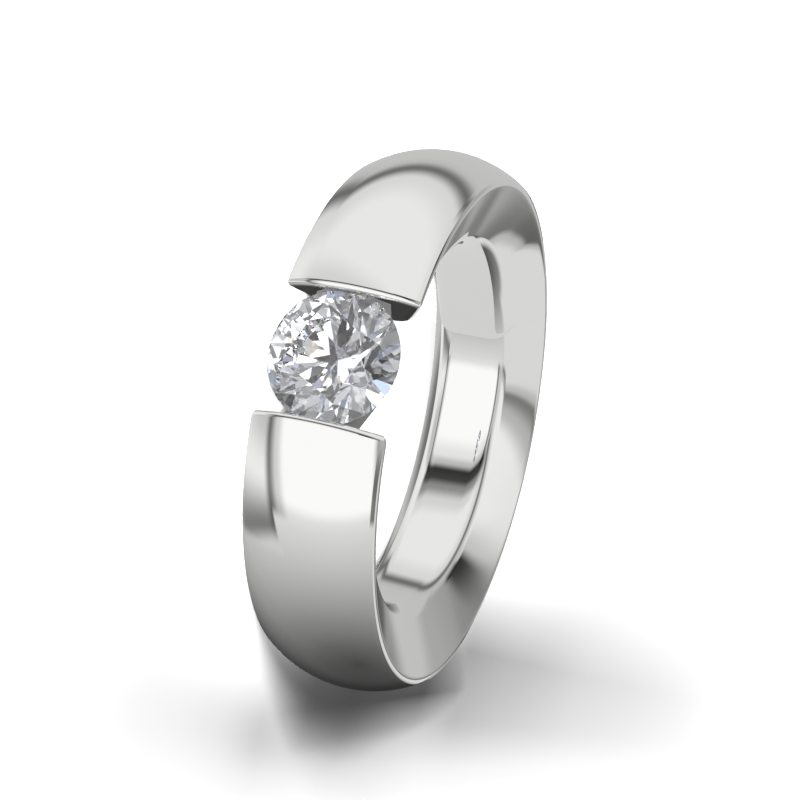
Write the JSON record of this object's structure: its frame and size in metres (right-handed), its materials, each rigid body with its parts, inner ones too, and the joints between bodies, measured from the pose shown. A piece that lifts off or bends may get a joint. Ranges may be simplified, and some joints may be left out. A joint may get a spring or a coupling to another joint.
{
  "type": "tension-set cubic zirconia ring",
  "caption": "Domed finger ring, open at the front, whose two ends grip a round brilliant stone by its girdle.",
  "frame": {"origin": "centre of the finger hole, on its axis and halfway along the band's width", "axes": "+Z along the finger hole's axis, up when the ring lies on its side; the stone faces -Y; +X along the gap's width"},
  "size_m": [0.0256, 0.0255, 0.006],
  "materials": {
    "band": "mirror-polished white metal, slightly warm",
    "stone": "clear, polished facets"
  },
  "bodies": {
    "root": {"band": "band", "stone": "stone"}
  },
  "joints": []
}
